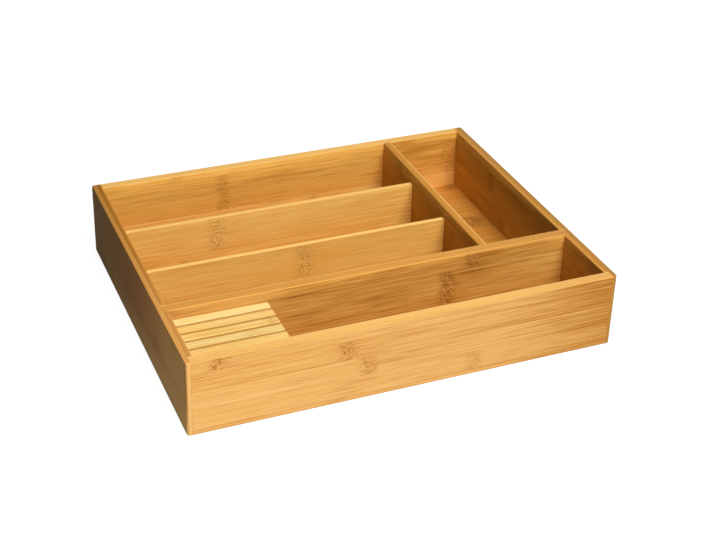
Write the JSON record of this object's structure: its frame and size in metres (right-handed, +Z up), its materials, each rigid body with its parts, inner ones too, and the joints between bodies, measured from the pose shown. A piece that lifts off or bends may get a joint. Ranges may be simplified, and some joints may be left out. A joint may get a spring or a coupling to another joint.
{
  "type": "cutlery tray",
  "caption": "Laminated bamboo cutlery tray with long rows, a bay along one side and a slotted knife block that lifts out of the front row.",
  "frame": {"origin": "middle of the tray's outline, on the surface it stands on", "axes": "+X along the tray's length, from the knife block's end to the other; +Y from the front wall to the back wall; +Z up"},
  "size_m": [0.36, 0.29, 0.065],
  "materials": {
    "bamboo_walls": "laminated carbonised bamboo, sanded, clear satin lacquer",
    "bamboo_dividers": "laminated carbonised bamboo, sanded, clear satin lacquer",
    "bamboo_base": "laminated carbonised bamboo panel, clear satin lacquer",
    "bamboo_pale_slats": "pale natural bamboo, sanded, clear satin lacquer",
    "bamboo_golden_slats": "golden bamboo, sanded, clear satin lacquer"
  },
  "bodies": {
    "tray": {"left_wall": "bamboo_walls", "right_wall": "bamboo_walls", "front_wall": "bamboo_walls", "back_wall": "bamboo_walls", "base_panel": "bamboo_base", "long_divider": "bamboo_dividers", "cross_divider": "bamboo_dividers", "short_divider_front": "bamboo_dividers", "short_divider_rear": "bamboo_dividers"},
    "knife_block": {"knife_slat_1": "bamboo_pale_slats", "knife_slat_2": "bamboo_golden_slats", "knife_slat_3": "bamboo_golden_slats", "knife_slat_4": "bamboo_pale_slats", "knife_slat_5": "bamboo_golden_slats", "knife_slat_6": "bamboo_golden_slats", "knife_spacer_1": "bamboo_golden_slats", "knife_spacer_2": "bamboo_golden_slats", "knife_spacer_3": "bamboo_golden_slats", "knife_spacer_4": "bamboo_golden_slats", "knife_spacer_5": "bamboo_golden_slats"}
  },
  "joints": [
    {"name": "knife_block_lift", "type": "slide", "parent": "tray", "child": "knife_block", "axis": [0, 0, 1], "range_m": [0, 0.08]}
  ]
}
